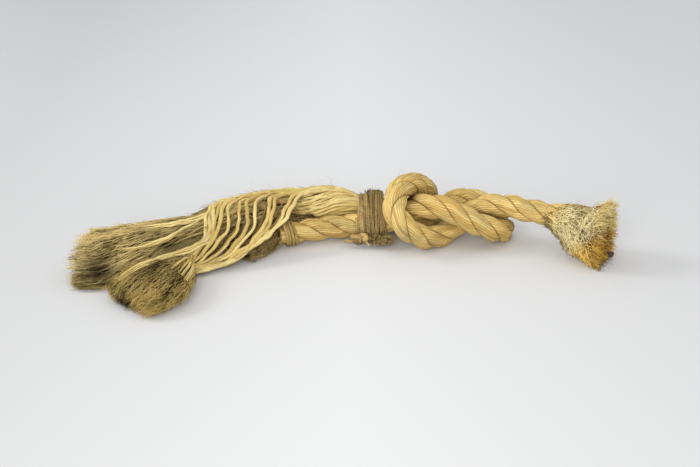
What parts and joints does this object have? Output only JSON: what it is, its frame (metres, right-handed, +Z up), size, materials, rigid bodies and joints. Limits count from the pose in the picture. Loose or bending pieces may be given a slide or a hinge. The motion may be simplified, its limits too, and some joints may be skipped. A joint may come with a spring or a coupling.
{
  "type": "knotted frayed rope end",
  "caption": "Old laid rope knotted through the loop of another, legs whipped together with twine, others unlaid into yarns that end in frayed brushes.",
  "frame": {"origin": "on the surface that the rope lies on, in the middle of the outline that it covers", "axes": "+Z up, +X from the yarns towards the flared end, -Y the front"},
  "size_m": [0.5323, 0.2307, 0.0703],
  "materials": {
    "rope": "dry weathered manila rope, dull, with grey-blue dirt in the grooves",
    "yarn": "pale unlaid manila yarns, slightly waxy on top, brown in the gaps",
    "fray": "matt frayed fibre, brown at the roots and ends",
    "twine": "dull brown hemp twine",
    "nail": "dark rusted iron"
  },
  "bodies": {
    "root": {"standing_rope": "rope", "bight_rope": "rope", "flared_end": "fray", "unlaid_yarns": "yarn", "front_brush": "fray", "rear_brush": "fray", "tail_brush": "fray", "main_whipping": "twine", "whipping_knot": "twine", "whipping_tow": "fray", "tail_whipping": "twine", "nail": "nail"}
  },
  "joints": []
}
